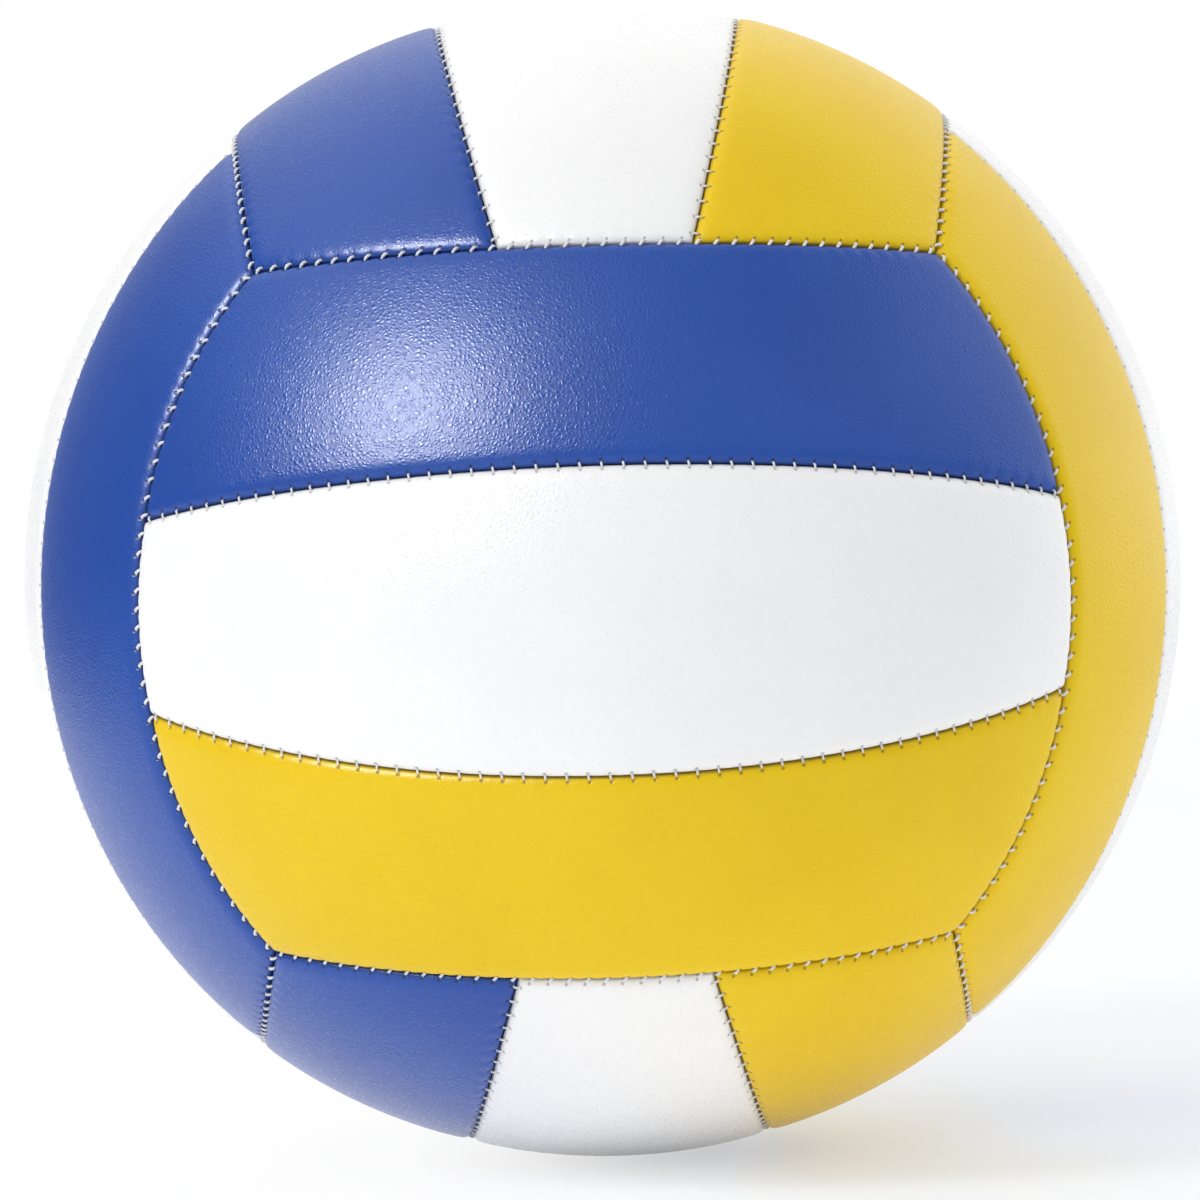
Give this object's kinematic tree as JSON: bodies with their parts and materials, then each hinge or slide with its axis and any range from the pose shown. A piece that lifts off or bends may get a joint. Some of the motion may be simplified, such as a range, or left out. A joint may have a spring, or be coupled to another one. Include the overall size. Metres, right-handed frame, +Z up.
{
  "type": "volleyball",
  "caption": "Round inflated sports ball with a soft sewn cover of interlocking blue, white and yellow strips and a recessed rubber inflation valve.",
  "frame": {"origin": "the ball's centre", "axes": "+Z up, the face seen in the picture towards -Y, +X to its right, the valve's axis along +Y"},
  "size_m": [0.21, 0.2099, 0.21],
  "materials": {
    "skin_blue": "pebbled soft sheen",
    "skin_white": "pebbled soft sheen",
    "skin_yellow": "pebbled soft sheen",
    "foam": "matte",
    "lining": "matte",
    "thread": "satin",
    "bladder": "matte",
    "patch": "matte",
    "valve": "satin",
    "valve_core": "satin"
  },
  "bodies": {
    "root": {"cover_front_lower": "skin_yellow", "cover_front_middle": "skin_white", "cover_front_upper": "skin_blue", "cover_back_lower": "skin_yellow", "cover_back_middle": "skin_white", "cover_back_upper": "skin_blue", "cover_left_front": "skin_blue", "cover_left_middle": "skin_white", "cover_left_rear": "skin_yellow", "cover_right_front": "skin_yellow", "cover_right_middle": "skin_white", "cover_right_rear": "skin_blue", "cover_top_left": "skin_blue", "cover_top_middle": "skin_white", "cover_top_right": "skin_yellow", "cover_bottom_left": "skin_blue", "cover_bottom_middle": "skin_white", "cover_bottom_right": "skin_yellow", "foam_front_lower": "foam", "foam_front_middle": "foam", "foam_front_upper": "foam", "foam_back_lower": "foam", "foam_back_middle": "foam", "foam_back_upper": "foam", "foam_left_front": "foam", "foam_left_middle": "foam", "foam_left_rear": "foam", "foam_right_front": "foam", "foam_right_middle": "foam", "foam_right_rear": "foam", "foam_top_left": "foam", "foam_top_middle": "foam", "foam_top_right": "foam", "foam_bottom_left": "foam", "foam_bottom_middle": "foam", "foam_bottom_right": "foam", "lining_front": "lining", "lining_back": "lining", "lining_left": "lining", "lining_right": "lining", "lining_top": "lining", "lining_bottom": "lining", "inner_thread_front": "thread", "inner_thread_back": "thread", "inner_thread_left": "thread", "inner_thread_right": "thread", "inner_thread_top": "thread", "inner_thread_bottom": "thread", "edge_thread_front": "thread", "edge_thread_back": "thread", "edge_thread_left": "thread", "edge_thread_right": "thread", "edge_thread_top": "thread", "edge_thread_bottom": "thread", "bladder": "bladder", "valve_patch": "patch", "valve_body": "valve", "valve_core": "valve_core"}
  },
  "joints": []
}
